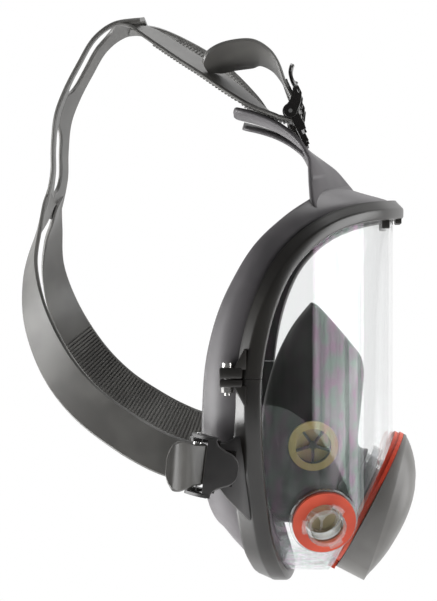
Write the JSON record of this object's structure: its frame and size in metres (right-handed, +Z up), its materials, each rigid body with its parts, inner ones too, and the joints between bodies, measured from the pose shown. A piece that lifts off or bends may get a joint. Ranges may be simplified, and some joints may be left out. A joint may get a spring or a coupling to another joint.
{
  "type": "full face respirator",
  "caption": "Full face respirator with a wide clear visor, nose cup, bayonet filter ports, exhalation outlet and a strap harness with roller buckles.",
  "frame": {"origin": "Centre of the face opening, on the axis of the visor's cylinder and in the plane of symmetry.", "axes": "+X points forward out of the visor, +Y to the wearer's left, +Z up; stored as worn, with the harness spread behind the mask."},
  "size_m": [0.2022, 0.2064, 0.2957],
  "materials": {
    "face_seal": "matte moulded elastomer",
    "visor": "clear hard-coated polycarbonate",
    "lens_frame": "satin charcoal nylon",
    "fastener_steel": "bright machine screws and nuts",
    "nose_cup": "soft matte black elastomer",
    "cup_valve": "translucent olive plastic",
    "valve_flap": "thin beige silicone",
    "clear_plastic": "clear moulded polycarbonate",
    "gasket": "orange-red silicone",
    "cover": "satin grey plastic",
    "harness": "smooth grey elastomer",
    "buckle_plastic": "black moulded plastic",
    "buckle_steel": "plated steel"
  },
  "bodies": {
    "facepiece": {"face_seal": "face_seal", "visor_lens": "visor", "upper_lens_frame": "lens_frame", "lower_lens_frame": "lens_frame", "frame_screws": "fastener_steel", "frame_nuts": "fastener_steel", "nose_cup": "nose_cup", "cup_valve_seat_right": "cup_valve", "cup_valve_seat_left": "cup_valve", "filter_port_right": "clear_plastic", "filter_port_left": "clear_plastic", "port_gasket_right": "gasket", "port_gasket_left": "gasket", "outlet_body": "clear_plastic", "outlet_gasket": "gasket", "outlet_lock_ring": "clear_plastic", "head_harness": "harness", "upper_buckle_base_right": "buckle_plastic", "upper_buckle_base_left": "buckle_plastic", "lower_buckle_base_right": "buckle_plastic", "lower_buckle_base_left": "buckle_plastic", "upper_buckle_pin_right": "buckle_steel", "upper_buckle_pin_left": "buckle_steel", "lower_buckle_pin_right": "buckle_steel", "lower_buckle_pin_left": "buckle_steel"},
    "upper_buckle_lever_right_body": {"upper_buckle_lever_right": "buckle_plastic"},
    "upper_buckle_roller_right_body": {"upper_buckle_roller_right": "buckle_steel"},
    "lower_buckle_lever_right_body": {"lower_buckle_lever_right": "buckle_plastic"},
    "lower_buckle_roller_right_body": {"lower_buckle_roller_right": "buckle_steel"},
    "port_valve_flap_right_body": {"port_valve_flap_right": "valve_flap"},
    "cup_valve_flap_right_body": {"cup_valve_flap_right": "valve_flap"},
    "upper_buckle_lever_left_body": {"upper_buckle_lever_left": "buckle_plastic"},
    "upper_buckle_roller_left_body": {"upper_buckle_roller_left": "buckle_steel"},
    "lower_buckle_lever_left_body": {"lower_buckle_lever_left": "buckle_plastic"},
    "lower_buckle_roller_left_body": {"lower_buckle_roller_left": "buckle_steel"},
    "port_valve_flap_left_body": {"port_valve_flap_left": "valve_flap"},
    "cup_valve_flap_left_body": {"cup_valve_flap_left": "valve_flap"},
    "exhale_flap_body": {"exhale_valve_flap": "valve_flap"},
    "cover_body": {"outlet_cover": "cover"}
  },
  "joints": [
    {"name": "upper_lever_right", "type": "hinge", "parent": "facepiece", "child": "upper_buckle_lever_right_body", "pos_m": [0.028, -0.0395, 0.1205], "axis": [0, 1, 0], "range_deg": [0, 35], "stiffness_Nm_per_rad": 0.02},
    {"name": "upper_roller_right", "type": "hinge", "parent": "facepiece", "child": "upper_buckle_roller_right_body", "pos_m": [0.028, -0.0395, 0.1205], "axis": [0, 1, 0], "continuous": true},
    {"name": "lower_lever_right", "type": "hinge", "parent": "facepiece", "child": "lower_buckle_lever_right_body", "pos_m": [-0.017, -0.0805, -0.051], "axis": [-0.1305, 0, -0.9914], "range_deg": [0, 35], "stiffness_Nm_per_rad": 0.02},
    {"name": "lower_roller_right", "type": "hinge", "parent": "facepiece", "child": "lower_buckle_roller_right_body", "pos_m": [-0.017, -0.0805, -0.051], "axis": [-0.1305, 0, -0.9914], "continuous": true},
    {"name": "port_flap_right", "type": "slide", "parent": "facepiece", "child": "port_valve_flap_right_body", "axis": [-0.2, 0.935, 0.293], "range_m": [0, 0.0015], "stiffness_N_per_m": 20},
    {"name": "cup_flap_right", "type": "slide", "parent": "facepiece", "child": "cup_valve_flap_right_body", "axis": [-0.1005, 0.9898, 0.1005], "range_m": [0, 0.0015], "stiffness_N_per_m": 20},
    {"name": "upper_lever_left", "type": "hinge", "parent": "facepiece", "child": "upper_buckle_lever_left_body", "pos_m": [0.028, 0.0395, 0.1205], "axis": [0, 1, 0], "range_deg": [0, 35], "stiffness_Nm_per_rad": 0.02},
    {"name": "upper_roller_left", "type": "hinge", "parent": "facepiece", "child": "upper_buckle_roller_left_body", "pos_m": [0.028, 0.0395, 0.1205], "axis": [0, 1, 0], "continuous": true},
    {"name": "lower_lever_left", "type": "hinge", "parent": "facepiece", "child": "lower_buckle_lever_left_body", "pos_m": [-0.017, 0.0805, -0.051], "axis": [0.1305, 0, 0.9914], "range_deg": [0, 35], "stiffness_Nm_per_rad": 0.02},
    {"name": "lower_roller_left", "type": "hinge", "parent": "facepiece", "child": "lower_buckle_roller_left_body", "pos_m": [-0.017, 0.0805, -0.051], "axis": [0.1305, 0, 0.9914], "continuous": true},
    {"name": "port_flap_left", "type": "slide", "parent": "facepiece", "child": "port_valve_flap_left_body", "axis": [-0.2, -0.935, 0.293], "range_m": [0, 0.0015], "stiffness_N_per_m": 20},
    {"name": "cup_flap_left", "type": "slide", "parent": "facepiece", "child": "cup_valve_flap_left_body", "axis": [-0.1005, -0.9898, 0.1005], "range_m": [0, 0.0015], "stiffness_N_per_m": 20},
    {"name": "exhale_flap", "type": "slide", "parent": "facepiece", "child": "exhale_flap_body", "axis": [0.8916, 0, -0.4528], "range_m": [0, 0.0025], "stiffness_N_per_m": 20},
    {"name": "outlet_cover_hinge", "type": "hinge", "parent": "facepiece", "child": "cover_body", "pos_m": [0.08702, 0, -0.04401], "axis": [0, -1, 0], "range_deg": [0, 40]}
  ]
}
